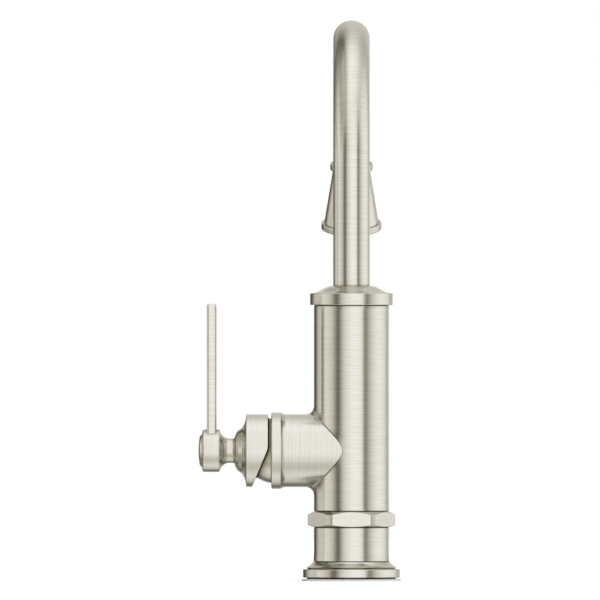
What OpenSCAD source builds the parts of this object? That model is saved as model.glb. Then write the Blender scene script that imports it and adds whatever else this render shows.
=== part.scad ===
// Gooseneck bar faucet with one side lever, in millimetres.
// +Z is up, the spout points to +Y, and the lever is on the -X side.
// The origin is the centre of the gasket's underside, on the deck.

/* [Deck base] */
// Radius of the clear gasket on the deck
gasket_r = 30.2; // [28.5:0.1:36]
// Thickness of the gasket
gasket_t = 1.2; // [0.6:0.1:3]
// Gap around the hoses and the stud where they pass through the gasket
gasket_hole_gap = 1; // [0.5:0.1:2]
// Radius of the flange's recessed foot
foot_r = 27.2; // [25:0.1:28.5]
// Height of the recessed foot
foot_h = 0.9; // [0.4:0.1:2]
// Radius of the flange's rim
flange_r = 29.6; // [28.8:0.1:34]
// Height of the rim above the foot
rim_h = 4.9; // [2:0.1:7]
// Height of the whole flange
flange_h = 11; // [9:0.1:16]
// Radius of the pedestal
pedestal_r = 22.9; // [22.2:0.1:24]
// How far the pedestal flares at its foot
pedestal_flare = 0.3; // [0.1:0.1:0.6]
// Height of the flared foot
pedestal_flare_h = 6; // [2:0.5:12]
// Height of the pedestal
pedestal_h = 20.3; // [15:0.1:40]
// Wall of the pedestal
pedestal_wall = 3.4; // [2:0.1:5]

/* [Hex collar] */
// Width across the collar's flats
hex_flats = 47.9; // [47:0.1:50]
// Radius that the collar's corners are turned to
hex_corner_r = 26.65; // [25.5:0.05:27.1]
// Height of the collar
hex_h = 10.2; // [7:0.1:16]
// Radius of the round face inside the collar's chamfers
hex_face_r = 23.2; // [22.9:0.1:23.4]
// Slope of the collar's chamfers
hex_chamfer_angle = 30; // [15:1:40]

/* [Body] */
// Radius of the body
body_r = 22.85; // [22.4:0.05:24]
// Wall of the body
body_wall = 2.85; // [2:0.05:3.2]
// Height of the body shell
body_h = 125.4; // [115:0.1:180]
// Height of the lever branch's axis above the collar
branch_rise = 36.8; // [32:0.1:42]
// Radius of the lever branch
branch_r = 22.2; // [21.5:0.1:22.7]
// Distance from the body's axis to the branch's end
branch_len = 42.5; // [42:0.1:48]
// How far the branch flares at its end
branch_lip = 0.9; // [0.2:0.1:1.5]
// Length of the branch's flared end
branch_lip_len = 1.3; // [0.6:0.1:3]

/* [Waterway] */
// Radius of the core's lower barrel, which goes through the collar
barrel_r = 16; // [15:0.1:18]
// How far the core stops above the flange's underside
core_recess = 1; // [0.5:0.1:3]
// Height of the core's upper block
core_h = 61.3; // [58:0.1:66]
// Height of the full rings at the core block's two ends
core_ring_h = 7.3; // [6:0.1:9]
// Distance from the body's axis to the core's flat back
core_back = 9; // [8:0.1:14]
// Distance from the body's axis to the flat valve seat
seat_x = 14; // [12:0.1:15]
// Radius of the core's three side ports
core_port_r = 3.2; // [2:0.1:3.4]
// Radius of the two inlet bores
inlet_bore_r = 3.6; // [3.5:0.1:4.2]
// Distance of the inlet bores towards the lever side
inlet_x = 4; // [3:0.1:5]
// Distance of each inlet bore to the side
inlet_y = 8.5; // [8.2:0.1:9.5]
// How far the inlet ports lie under the branch's axis
core_inlet_drop = 3.5; // [2.5:0.1:5]
// How far the outlet port lies over the branch's axis
core_outlet_rise = 5; // [4.5:0.1:6]
// Radius of the slanted passages through the seat adapter
passage_r = 2; // [1.5:0.1:2.2]
// Radius of the outlet bore
outlet_bore_r = 5; // [4:0.1:6]
// Radius of the two hose ports, at the minor diameter of an M10 fine thread
hose_port_r = 4.5; // [4.4:0.1:5.2]
// Depth of the hose ports
hose_port_depth = 12; // [8:0.5:18]
// Radius of the stud hole, at the minor diameter of an M8 thread
stud_hole_r = 3.4; // [3:0.1:3.9]
// Depth of the stud hole
stud_hole_depth = 18; // [10:0.5:28]
// Distance of the stud hole from the body's axis
stud_x = 9.5; // [8:0.1:11]
// Radius of the riser tube
riser_r = 8; // [7:0.1:9]
// Wall of the riser tube
riser_wall = 1; // [0.6:0.1:1.5]
// How far the riser tube goes into each end
riser_depth = 6; // [4.5:0.1:7]

/* [Spout swivel] */
// Height of the spout socket
socket_h = 28; // [26:0.5:32]
// Radius of the socket's barrel
socket_barrel_r = 14.5; // [14:0.1:16]
// Thickness of the socket's flange
socket_flange_t = 8; // [5:0.5:12]
// Thickness of the floor between the riser and the shank
socket_floor_t = 2; // [1:0.5:4]
// Depth of the bearing seat in the socket's top
bearing_seat_depth = 2; // [1.5:0.1:3]
// Thickness of each bearing washer
washer_t = 1; // [0.5:0.1:1.4]
// Radius of the shank's barrel
shank_r = 12; // [11.5:0.1:12.5]
// Radius of the shank's flange
shank_flange_r = 16; // [14.6:0.1:16.5]
// Thickness of the shank's flange
shank_flange_t = 3; // [2:0.1:4]
// Radius of the sleeve that holds the spout tube
sleeve_r = 13.5; // [12.5:0.1:13.9]
// Bore of the shank
shank_bore_r = 9; // [8:0.1:9.2]
// Heights of the two seal grooves above the shank's foot, as shares of the barrel
groove_shares = [0.25, 0.65];

/* [Top cap] */
// Radius of the top cap
cap_r = 25.2; // [24:0.1:28]
// Height of the cap's rim
cap_rim_h = 7.2; // [4:0.1:12]
// Height of the cap's crown over its rim
cap_crown_h = 4.5; // [2:0.1:8]
// Shadow gap between the body and the cap
cap_gap = 0.2; // [0.1:0.05:0.6]
// Edge rounds on the cap's rim
cap_edge = 0.6; // [0.2:0.1:1.5]
// Depth of the cap's screwed skirt
cap_skirt_h = 10.1; // [8.5:0.1:12]
// Thickness of the cap's wall around the bearing seat
cap_skirt_wall = 3.3; // [2.5:0.1:3.8]
// Height of the cap's roof inside
cap_roof_rise = 1.2; // [0.8:0.1:3]

/* [Spout] */
// Radius of the spout tube
tube_r = 11.1; // [10.5:0.05:11.6]
// Wall of the spout tube
tube_wall = 1.2; // [0.8:0.1:1.5]
// Straight rise of the tube above the cap
tube_rise = 75.6; // [40:0.1:140]
// Radius of the gooseneck's bend, to the tube's centre line
bend_r = 76; // [60:0.5:110]
// How far the outlet points outwards from straight down
spout_tilt = 15.6; // [0:0.1:30]
// Straight length between the bend and the end ring
end_straight = 22.1; // [12:0.1:60]
// Radius of the end ring
end_ring_r = 13.1; // [12.6:0.1:15]
// Height of the end ring
end_ring_h = 3.2; // [2:0.1:6]
// Edge rounds on the end ring
end_ring_edge = 0.8; // [0.3:0.1:1]
// How far the tube goes into the end ring
tube_into_ring = 1.6; // [0.8:0.1:1.9]
// Height of the bell, from the end ring's top to the outlet
bell_h = 40.85; // [36:0.05:60]
// Radius of the bell's cone at the end ring
bell_top_r = 11.36; // [11.2:0.02:12]
// Radius of the bell's cone at the mouth band
bell_low_r = 16.7; // [16:0.1:17.5]
// Radius of the mouth band
mouth_r = 18.6; // [18:0.1:21]
// Height of the mouth band
mouth_h = 4.05; // [2:0.05:7]
// Edge rounds on the mouth band
mouth_edge = 0.6; // [0.2:0.1:0.9]
// Bore of the nipple between the tube and the bell
nipple_bore_r = 7.6; // [6:0.1:8.4]
// How far the nipple goes into the tube
nipple_in_tube = 8; // [5:0.5:14]
// How far the nipple goes into the bell
nipple_in_bell = 10; // [6:0.5:12]

/* [Aerator] */
// Radius of the aerator's bore in the bell
aerator_bore_r = 12; // [11.6:0.1:12.8]
// Depth of the aerator's bore
aerator_depth = 15; // [12:0.1:18]
// How far the aerator's face is set back in the mouth
aerator_recess = 0.4; // [0.2:0.1:2]
// Wall of the aerator's housing
aerator_wall = 1.45; // [1:0.05:2]
// Width of the aerator housing's inner lip
aerator_lip = 0.9; // [0.4:0.1:1.2]
// Thickness of the aerator housing's inner lip
aerator_lip_t = 1; // [0.5:0.1:2]
// Thickness of the aerator's rubber washer
aerator_washer_t = 1.5; // [1:0.1:2.5]
// Radius of each hole in the aerator's insert
jet_r = 0.85; // [0.5:0.05:1]
// Spacing of the holes
jet_pitch = 2.6; // [2.4:0.1:3]
// Rings of holes around the middle one
jet_rings = 3; // [1:1:3]

/* [Cartridge] */
// Radius of the cartridge
cartridge_r = 17.5; // [17.2:0.05:17.6]
// Wall of the cartridge's housing
housing_wall = 2.3; // [1.8:0.05:2.5]
// Thickness of the housing's roof
housing_roof_t = 2; // [1.5:0.1:2.6]
// Radius of the housing's neck
neck_r = 13.4; // [13:0.1:13.5]
// Height from the cartridge's foot to the lever's pivot
pivot_height = 21.8; // [21.2:0.1:22.4]
// Height of the whole cartridge
cartridge_h = 26; // [25:0.1:26.5]
// Thickness of the cartridge's base
cartridge_base_t = 3; // [2.5:0.1:3.4]
// Thickness of each ceramic disc
disc_t = 3; // [2.5:0.1:3.2]
// Radius of the moving disc
moving_disc_r = 11; // [10.6:0.1:11.4]
// Radius of the mixing chamber in the moving disc
chamber_r = 5.8; // [5:0.1:6.2]
// Depth of the mixing chamber
chamber_depth = 1.6; // [1:0.1:2]
// How far the mixing chamber lies under the cartridge's axis
chamber_drop = 4; // [3.6:0.1:4.4]
// Radius of the cartridge's three ports
cartridge_port_r = 2.4; // [1.6:0.1:2.6]
// How far the cartridge's inlets lie over its axis
cartridge_inlet_rise = 3.6; // [3.2:0.1:4.4]
// Distance of each cartridge inlet to the side
cartridge_inlet_y = 5; // [4.6:0.1:5.6]
// How far the cartridge's outlet lies under its axis
cartridge_outlet_drop = 6; // [5.4:0.1:6.6]
// Thickness of the flat port seals
port_seal_t = 1.3; // [0.8:0.1:1.6]
// Width of the flat port seals' rings
port_seal_w = 1.3; // [0.8:0.1:1.4]
// Thickness of the carrier's round plate
carrier_t = 2.5; // [2:0.1:2.8]
// Height of the carrier's rail
rail_h = 3.6; // [3.2:0.1:3.7]
// Width of the carrier's rail
rail_w = 10; // [8:0.1:11]
// Length of the carrier's rail
rail_len = 16; // [12:0.1:17]
// Radius of the rotor's neck
rotor_r = 11; // [10.5:0.1:11.5]
// How far the rotor's neck stops under the cartridge's top
rotor_recess = 0.5; // [0.3:0.1:1]
// Radius of the lever pin
pin_r = 1.5; // [1.2:0.1:2]
// Length of the lever pin
pin_len = 19; // [14:0.5:19.5]
// Wall of the retaining nut's sleeve
nut_wall = 1.4; // [1.1:0.1:1.7]
// Length of the nut's sleeve over the cartridge
nut_sleeve_len = 8; // [6:0.1:8.4]
// How far the nut stops under the pivot
nut_drop = 0.3; // [0.1:0.1:0.6]

/* [Dome and trim ring] */
// Radius of the dome under the lever
dome_r = 20; // [19.6:0.1:20.3]
// Wall of the dome
dome_wall = 2; // [1.6:0.1:2.4]
// Distance from the branch's end to the dome's centre
dome_rise = 3.8; // [3.6:0.1:4.4]
// Radius of the stem hole in the dome
dome_hole_r = 13.5; // [13.2:0.1:14]
// Radius of the trim ring
trim_r = 23.3; // [22.5:0.1:26]
// Width of the trim ring
trim_w = 6.4; // [4:0.1:6.8]
// Edge rounds on the trim ring
trim_edge = 0.6; // [0.2:0.1:1.2]

/* [Lever handle] */
// Radius of the handle's skirt
skirt_r = 22.2; // [21.8:0.1:23]
// Gap between the dome and the skirt
skirt_gap = 0.4; // [0.3:0.05:0.8]
// Distance from the pivot to the skirt's straight edge
skirt_edge = 4.6; // [4:0.1:6]
// Distance from the pivot to the skirt's shoulder
skirt_shoulder = 17.9; // [17:0.1:22]
// Slope of the skirt's lower edge, which gives the lever room to tilt
skirt_slope = 23.1; // [22:0.1:28]
// Height over the axis where the lower edge starts to slope
skirt_bend_rise = 1.25; // [0:0.05:3]
// Length over which the straight and the sloping edge blend
skirt_blend = 2.15; // [1:0.05:4]
// Radius of the step between the skirt and the neck
step_r = 11.8; // [10.5:0.1:13]
// Distance from the skirt's shoulder to the step
step_len = 5.7; // [4.5:0.1:8]
// Radius of the handle's neck
handle_neck_r = 7.45; // [7:0.05:9]
// Distance from the step to the straight neck
neck_cove_len = 3.1; // [2:0.1:5]
// Length of the straight neck
neck_len = 2.3; // [1:0.1:6]
// Length of the neck's flare to the hub
flare_len = 5.5; // [4:0.1:9]
// Radius of the flare at the hub
flare_r = 12.7; // [10:0.1:12.8]
// Radius of the lever's hub
hub_r = 13; // [12.9:0.1:15]
// Length of the hub
hub_len = 10.2; // [9.6:0.1:13]
// Edge rounds on the hub
hub_edge = 0.8; // [0.3:0.1:1.5]
// Thickness of the lever bar
bar_t = 5.9; // [4.5:0.1:6.2]
// Width of the lever bar
bar_w = 14.8; // [12:0.1:16]
// Height of the lever bar over the hub's axis
bar_rise = 89.5; // [50:0.5:130]
// How far the lever bar goes under the hub's axis
bar_drop = 8; // [6:0.1:9]
// Bevels along the lever bar
bar_bevel = 1; // [0.3:0.1:1.5]
// Distance from the hub's inner face to the lever bar
bar_inset = 1.55; // [1.2:0.05:2]
// Radius of the hub cap
hub_cap_r = 10.2; // [8:0.1:11.5]
// Height of the hub cap's bevelled edge
hub_cap_edge = 1.2; // [0.6:0.1:2]
// Width of the hub cap's bevelled edge
hub_cap_bevel = 2; // [1:0.1:3]
// Height of the hub cap's crown
hub_cap_crown = 1.1; // [0.4:0.1:3]

/* [Stem and screws] */
// Width of the square stem
stem_w = 7.8; // [7:0.1:7.8]
// Distance from the pivot to the stem's outer end
stem_out = 27.6; // [26:0.1:28]
// How far the square stem goes past the pivot
stem_in = 3.8; // [3:0.1:4]
// Distance from the pivot to the middle of the stem's ball
ball_arm = 8; // [7.6:0.05:8.2]
// Radius of the stem's ball
ball_r = 2.4; // [2.2:0.05:2.45]
// Radius of the arm that carries the ball
arm_r = 1.6; // [1.2:0.1:1.7]
// Radius of the set screw
set_screw_r = 2.5; // [2:0.1:3]
// Distance from the skirt's shoulder to the set screw
set_screw_pos = 4.3; // [3.6:0.1:5]
// Width of the set screw's hex socket
set_screw_key = 2.5; // [1.5:0.1:3]
// Radius of the handle screw
screw_r = 2.5; // [2:0.1:3]
// How far the handle screw goes into the neck
screw_bite = 5; // [4:0.1:5.4]
// Radius of the handle screw's head
screw_head_r = 4.25; // [3.5:0.05:4.5]
// Depth of the screw head's recess in the hub
screw_recess = 2.6; // [2:0.1:2.7]
// Width of the handle screw's hex socket
screw_key = 4; // [3:0.1:4.5]

/* [Fits] */
// Radial clearance of parts that slip together
fit = 0.05; // [0.03:0.01:0.1]
// Radial clearance of joined parts that never move
bond = 0.03; // [0.02:0.01:0.05]
// Clearance along the axis of parts that turn
play = 0.05; // [0.03:0.01:0.1]
// Clearance at the cartridge's plastic parts
plastic_gap = 0.1; // [0.05:0.01:0.15]
// Clearance on each side of the ball in its pocket
ball_gap = 0.2; // [0.17:0.01:0.3]
// Radius of the section of the spout's seals
seal_r = 0.93; // [0.8:0.01:1]

/* [Hidden] */
$fn = 96;

// How far a cut runs past the face that it opens
overrun = 1;
// Step in radius between the tube's straight and bent stretches
bend_step = 0.01;
// Points along each curved stretch of an outline
curve_steps = 8;

// Heights of the stack on the deck
z_flange = gasket_t;
z_core = z_flange + core_recess;
z_pedestal = z_flange + flange_h;
z_hex = z_pedestal + pedestal_h;
z_body = z_hex + hex_h;
z_core_top = z_body + core_h;
z_body_top = z_body + body_h;
z_cap = z_body_top + cap_gap;
z_rim_top = z_cap + cap_rim_h;
z_cap_top = z_rim_top + cap_crown_h;
branch_z = z_body + branch_rise;

// Heights in the spout's swivel
z_socket_top = z_body_top - cap_skirt_h;
z_socket = z_socket_top - socket_h;
z_socket_floor = z_socket + riser_depth + socket_floor_t;
z_washer = z_socket_top - bearing_seat_depth;
z_shank = z_socket_floor + overrun / 2;
z_shank_flange = z_washer + washer_t + play;
z_tube = z_shank_flange + shank_flange_t;
z_upper_washer = z_tube + play;
z_cap_shoulder = z_upper_washer + washer_t;
z_roof = z_cap + cap_roof_rise;
bend_z = z_cap_top + tube_rise;

// Radii that follow from the fits
bore_r = body_r - body_wall;
core_r = bore_r - 2 * fit;
bearing_r = core_r - cap_skirt_wall;
washer_r = bearing_r - 2 * fit;
spin_gap = fit + bond / 2;
groove_floor_r = shank_r + bond / 2 - 2 * seal_r - fit;
groove_w = 2 * seal_r + 8 * fit;
tube_bore_r = tube_r - tube_wall;
nipple_r = tube_bore_r - bond;
branch_bore_r = cartridge_r + plastic_gap;
nut_r = branch_bore_r + nut_wall;
thread_r = nut_r + fit;
housing_bore_r = cartridge_r - housing_wall;
dome_bore_r = dome_r - dome_wall;
nut_crown_r = dome_bore_r - fit;
rotor_bore_r = rotor_r + plastic_gap;
rotor_flange_r = housing_bore_r - 3 * plastic_gap;

// Places along the spout's end, measured from the end of the bend
u_ring = end_straight;
u_bell = u_ring + end_ring_h;
u_mouth = u_ring + bell_h;
u_tube_end = u_ring + tube_into_ring;
u_nipple = u_ring - nipple_in_tube;
u_nipple_end = u_bell + nipple_in_bell;
u_band = u_mouth - mouth_h;
u_aerator = u_mouth - aerator_depth;
u_face = u_mouth - aerator_recess;
u_housing = u_aerator + aerator_washer_t;
end_y = bend_r + bend_r * cos(spout_tilt);
end_z = bend_z + bend_r * sin(spout_tilt);

// Places along the lever branch, measured out from the body's axis
t_pivot = branch_len + dome_rise;
t_cartridge = t_pivot - pivot_height;
t_fixed_disc = t_cartridge + cartridge_base_t;
t_moving_disc = t_fixed_disc + disc_t;
t_carrier = t_moving_disc + disc_t;
t_rail = t_carrier + carrier_t;
t_rail_top = t_rail + rail_h;
t_rotor = t_rail + 2 * plastic_gap;
t_rotor_neck = t_rail_top + 3 * plastic_gap;
t_roof = t_rotor_neck + plastic_gap;
t_shoulder = t_roof + housing_roof_t;
t_cartridge_top = t_cartridge + cartridge_h;
t_rotor_top = t_cartridge_top - rotor_recess;
t_nut = t_shoulder - nut_sleeve_len;
t_nut_top = t_pivot - nut_drop;
t_thread = t_nut - 5 * plastic_gap;
t_skirt = t_pivot + skirt_edge;
t_skirt_top = t_pivot + skirt_shoulder;
t_step = t_skirt_top + step_len;
t_neck = t_step + neck_cove_len;
t_flare = t_neck + neck_len;
t_hub = t_flare + flare_len;
t_hub_end = t_hub + hub_len;
t_bar = t_hub + bar_inset;
t_stem_end = t_pivot + stem_out;
t_set_screw = t_skirt_top + set_screw_pos;

// Places of the three ports, as height over the branch's axis and distance to the side
core_ports = [
    [-core_inlet_drop, inlet_y], [-core_inlet_drop, -inlet_y], [core_outlet_rise, 0]
];
cartridge_ports = [
    [cartridge_inlet_rise, cartridge_inlet_y], [cartridge_inlet_rise, -cartridge_inlet_y],
    [-cartridge_outlet_drop, 0]
];

// Control points of the curved outlines, as shares of the run and of the rise between their ends
flange_cove_share = [0.5, 0.26];
skirt_cove_share = [0.16, 0.80];
step_cove_share = [0.45, 0.88];
flare_cove_share = [0.78, 0.03];

nickel = [0.78, 0.77, 0.73];
brass = [0.80, 0.66, 0.36];
steel = [0.72, 0.73, 0.74];
rubber = [0.15, 0.15, 0.16];
ceramic = [0.93, 0.92, 0.89];
grey_plastic = [0.45, 0.47, 0.50];
white_plastic = [0.90, 0.91, 0.92];
clear_vinyl = [0.80, 0.86, 0.88];

// Points of a curve from a to c that bends towards b, without its first point
function curve(a, b, c) = [
    for (i = [1 : curve_steps]) let (s = i / curve_steps)
        (1 - s) * (1 - s) * a + 2 * s * (1 - s) * b + s * s * c
];
// A point whose two coordinates lie at the given shares between a and b
function between(a, b, share) = [a[0] + (b[0] - a[0]) * share[0], a[1] + (b[1] - a[1]) * share[1]];
// Points of an ogee from radius r_out at height z0 to radius r_in at height z1
function ogee(r_out, z0, r_in, z1) = [
    for (i = [0 : 2 * curve_steps]) let (s = i / (2 * curve_steps))
        [r_out + (r_in - r_out) * s, z0 + (z1 - z0) * (1 - cos(180 * s)) / 2]
];

module disc(r, z0, z1) translate([0, 0, z0]) cylinder(r = r, h = z1 - z0);

module ring(r_out, r_in, z0, z1) difference() {
    disc(r_out, z0, z1);
    disc(r_in, z0 - overrun, z1 + overrun);
}

// A disc whose two outer edges have a bevel
module bevelled_disc(r, bevel, z0, z1) rotate_extrude() polygon([
    [0, z0], [r - bevel, z0], [r, z0 + bevel], [r, z1 - bevel], [r - bevel, z1], [0, z1]
]);

module o_ring(r, wire_r) rotate_extrude() translate([r, 0]) circle(r = wire_r, $fn = 32);

module block(low, high) translate(low) cube(high - low);

// Puts +Z along the branch, away from the body, and +X up
module on_branch() translate([0, 0, branch_z]) rotate([0, -90, 0]) children();

// Puts +Z along the spout's end, from the end of the bend towards the outlet
module on_spout_end() translate([0, end_y, end_z]) rotate([180 + spout_tilt, 0, 0]) children();

module on_ports(ports, t) for (p = ports) translate([p[0], p[1], t]) children();

module deck_gasket() color(clear_vinyl) difference() {
    disc(gasket_r, 0, gasket_t);
    for (side = [-1, 1]) translate([-inlet_x, side * inlet_y, 0])
        disc(hose_port_r + gasket_hole_gap, -overrun, gasket_t + overrun);
    translate([stud_x, 0, 0]) disc(stud_hole_r + gasket_hole_gap, -overrun, gasket_t + overrun);
}

module base_flange() {
    rim_z = z_flange + foot_h + rim_h;
    rim_point = [flange_r, rim_z];
    neck_point = [pedestal_r + 2 * pedestal_flare, z_pedestal];
    outline = concat(
        [[0, z_flange], [foot_r, z_flange], [foot_r, z_flange + foot_h],
         [flange_r, z_flange + foot_h], rim_point],
        curve(rim_point, between(rim_point, neck_point, flange_cove_share), neck_point),
        [[0, z_pedestal]]
    );
    color(nickel) difference() {
        rotate_extrude() polygon(outline);
        disc(barrel_r + 2 * fit, 0, z_pedestal + overrun);
    }
}

module pedestal() color(nickel) difference() {
    rotate_extrude() polygon([
        [0, z_pedestal], [pedestal_r + pedestal_flare, z_pedestal],
        [pedestal_r, z_pedestal + pedestal_flare_h], [pedestal_r, z_hex], [0, z_hex]
    ]);
    disc(pedestal_r - pedestal_wall, z_pedestal - overrun, z_hex + overrun);
}

module hex_collar() {
    chamfer_h = (hex_corner_r - hex_face_r) * tan(hex_chamfer_angle);
    color(nickel) difference() {
        intersection() {
            translate([0, 0, z_hex]) cylinder(r = hex_flats / 2 / cos(30), h = hex_h, $fn = 6);
            rotate_extrude() polygon([
                [0, z_hex], [hex_face_r, z_hex], [hex_corner_r, z_hex + chamfer_h],
                [hex_corner_r, z_body - chamfer_h], [hex_face_r, z_body], [0, z_body]
            ]);
        }
        disc(barrel_r + fit, z_hex - overrun, z_body + overrun);
    }
}

module body_shell() color(nickel) difference() {
    union() {
        disc(body_r, z_body, z_body_top);
        on_branch() rotate_extrude() polygon([
            [0, 0], [branch_r, 0], [branch_r, branch_len - branch_lip_len],
            [branch_r + branch_lip, branch_len], [0, branch_len]
        ]);
    }
    disc(bore_r, z_body - overrun, z_body_top + overrun);
    on_branch() {
        disc(branch_bore_r, seat_x - play, branch_len + overrun);
        disc(thread_r, t_thread, branch_len + overrun);
    }
}

module waterway_core() {
    notch = branch_bore_r + 2 * fit;
    seal_z = z_core_top - riser_depth / 2;
    color(brass) difference() {
        union() {
            disc(barrel_r, z_core, z_body + overrun);
            disc(core_r, z_body, z_core_top);
        }
        block([-bore_r, -bore_r, branch_z - notch], [-seat_x, bore_r, branch_z + notch]);
        block([core_back, -bore_r, z_body + core_ring_h], [bore_r, bore_r, z_core_top - core_ring_h]);
        for (side = [-1, 1]) translate([-inlet_x, side * inlet_y, 0]) {
            disc(inlet_bore_r, 0, branch_z - core_inlet_drop + inlet_bore_r);
            disc(hose_port_r, 0, z_core + hose_port_depth);
        }
        on_branch() {
            on_ports([core_ports[0], core_ports[1]], 0) disc(core_port_r, inlet_x, seat_x + overrun);
            on_ports([core_ports[2]], 0) disc(core_port_r, 0, seat_x + overrun);
        }
        disc(outlet_bore_r, branch_z + core_outlet_rise - outlet_bore_r, z_core_top);
        disc(riser_r + fit, z_core_top - riser_depth, z_core_top + overrun);
        disc(riser_r + 2 * seal_r + 2 * fit, seal_z - groove_w / 2, seal_z + groove_w / 2);
        translate([stud_x, 0, 0]) disc(stud_hole_r, 0, z_core + stud_hole_depth);
    }
}

// A straight round passage from one port to another, which starts a little before the first
module passage(from, to) {
    run = to - from;
    length = norm(run);
    extra = overrun * length / run[2];
    translate(from) rotate([0, acos(run[2] / length), atan2(run[1], run[0])])
        translate([0, 0, -extra / 5]) cylinder(r = passage_r, h = length + 2 * extra);
}

module seat_adapter() color(brass) on_branch() difference() {
    disc(cartridge_r, seat_x, t_cartridge);
    for (i = [0 : 2]) passage(
        [core_ports[i][0], core_ports[i][1], seat_x + port_seal_t],
        [cartridge_ports[i][0], cartridge_ports[i][1], t_cartridge]
    );
    on_ports(core_ports, 0)
        disc(core_port_r + port_seal_w + fit, seat_x - overrun, seat_x + port_seal_t);
}

module seat_seals() color(rubber) on_branch() on_ports(core_ports, 0)
    ring(core_port_r + port_seal_w, core_port_r, seat_x, seat_x + port_seal_t);

module riser_tube() color(steel)
    ring(riser_r, riser_r - riser_wall, z_core_top - riser_depth, z_socket + riser_depth);

module riser_seals() color(rubber) for (z = [z_core_top - riser_depth / 2, z_socket + riser_depth / 2])
    translate([0, 0, z]) o_ring(riser_r + seal_r + bond, seal_r);

module spout_socket() {
    seal_z = z_socket + riser_depth / 2;
    color(brass) difference() {
        union() {
            disc(socket_barrel_r, z_socket, z_socket_top);
            disc(core_r, z_socket_top - socket_flange_t, z_socket_top);
        }
        disc(riser_r + fit, z_socket - overrun, z_socket + riser_depth);
        disc(riser_r + 2 * seal_r + 2 * fit, seal_z - groove_w / 2, seal_z + groove_w / 2);
        disc(riser_r - riser_wall, z_socket, z_socket_floor + overrun);
        disc(shank_r + fit, z_socket_floor, z_socket_top + overrun);
        disc(bearing_r, z_washer, z_socket_top + overrun);
    }
}

module lower_bearing_washer() color(white_plastic)
    ring(washer_r, shank_r + 2 * fit, z_washer, z_washer + washer_t);

module upper_bearing_washer() color(white_plastic)
    ring(washer_r, sleeve_r + 2 * fit, z_upper_washer, z_cap_shoulder);

module top_cap() color(nickel) difference() {
    union() {
        disc(core_r, z_socket_top + play, z_cap + overrun);
        rotate_extrude() polygon(concat(
            [[0, z_cap], [cap_r - cap_edge, z_cap], [cap_r, z_cap + cap_edge],
             [cap_r, z_rim_top - cap_edge]],
            ogee(cap_r - cap_edge, z_rim_top, tube_r + cap_edge, z_cap_top),
            [[0, z_cap_top]]
        ));
    }
    disc(tube_r + spin_gap, z_socket_top, z_cap_top + overrun);
    disc(sleeve_r + 10 * fit, z_socket_top, z_roof);
    disc(bearing_r, z_socket_top, z_cap_shoulder);
}

function groove_z(share) = z_shank + (z_shank_flange - z_shank) * share;

module spout_shank() color(brass) difference() {
    union() {
        disc(shank_r, z_shank, z_tube);
        disc(shank_flange_r, z_shank_flange, z_tube);
        disc(sleeve_r, z_shank_flange, z_cap);
    }
    disc(shank_bore_r, z_shank - overrun, z_tube + overrun);
    disc(tube_r + bond, z_tube, z_cap + overrun);
    for (share = groove_shares) translate([0, 0, groove_z(share)])
        ring(shank_r + overrun, groove_floor_r, -groove_w / 2, groove_w / 2);
}

module spout_seals() color(rubber) for (share = groove_shares)
    translate([0, 0, groove_z(share)]) o_ring(shank_r + bond - seal_r, seal_r);

// The bent stretch of the tube, a hair thicker each way so that it steps where it joins the straight ones
module tube_bend() translate([0, bend_r, bend_z]) rotate([90, 0, 90]) rotate([0, 0, spout_tilt])
    rotate_extrude(angle = 180 - spout_tilt) translate([bend_r, 0]) difference() {
        circle(r = tube_r + bend_step);
        circle(r = tube_bore_r - bend_step);
    }

module spout_tube() color(nickel) union() {
    ring(tube_r, tube_bore_r, z_tube, bend_z);
    tube_bend();
    on_spout_end() ring(tube_r, tube_bore_r, 0, u_tube_end);
}

module spout_nipple() color(brass) on_spout_end()
    ring(nipple_r, nipple_bore_r, u_nipple, u_nipple_end);

module spout_end_ring() color(nickel) on_spout_end() difference() {
    bevelled_disc(end_ring_r, end_ring_edge, u_ring, u_bell);
    disc(nipple_r + bond, u_ring - overrun, u_bell + overrun);
    disc(tube_r + bond, u_ring - overrun, u_tube_end);
}

module spout_bell() color(nickel) on_spout_end() difference() {
    rotate_extrude() polygon([
        [0, u_bell], [bell_top_r, u_bell], [bell_low_r, u_band], [mouth_r - mouth_edge, u_band],
        [mouth_r, u_band + mouth_edge], [mouth_r, u_mouth - mouth_edge],
        [mouth_r - mouth_edge, u_mouth], [0, u_mouth]
    ]);
    disc(nipple_r + bond, u_bell - overrun, u_nipple_end);
    translate([0, 0, u_nipple_end]) cylinder(
        r1 = nipple_r + bond, r2 = aerator_bore_r - aerator_lip, h = u_aerator - u_nipple_end
    );
    disc(aerator_bore_r, u_aerator, u_mouth + overrun);
}

module aerator_washer() color(rubber) on_spout_end()
    ring(aerator_bore_r - 2 * fit, aerator_bore_r - 2 * aerator_lip, u_aerator, u_housing);

module aerator_housing() {
    outer_r = aerator_bore_r - fit;
    color(steel) on_spout_end() difference() {
        disc(outer_r, u_housing, u_face);
        disc(outer_r - aerator_wall, u_housing - overrun, u_face - aerator_lip_t);
        disc(outer_r - aerator_wall - aerator_lip, u_housing, u_face + overrun);
    }
}

module aerator_insert() {
    insert_r = aerator_bore_r - 2 * fit - aerator_wall;
    row_h = jet_pitch * sin(60);
    color(white_plastic) on_spout_end() difference() {
        disc(insert_r, u_housing, u_face - aerator_lip_t);
        for (row = [-jet_rings : jet_rings]) {
            last = 2 * jet_rings - abs(row);
            for (i = [0 : last])
                translate([(i - last / 2) * jet_pitch, row * row_h, 0])
                    disc(jet_r, u_aerator, u_mouth);
        }
    }
}

module cartridge_base() color(grey_plastic) on_branch() difference() {
    disc(housing_bore_r - plastic_gap / 2, t_cartridge, t_fixed_disc);
    on_ports(cartridge_ports, 0) {
        disc(cartridge_port_r, 0, t_fixed_disc + overrun);
        disc(cartridge_port_r + port_seal_w + fit, 0, t_cartridge + port_seal_t);
    }
}

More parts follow.
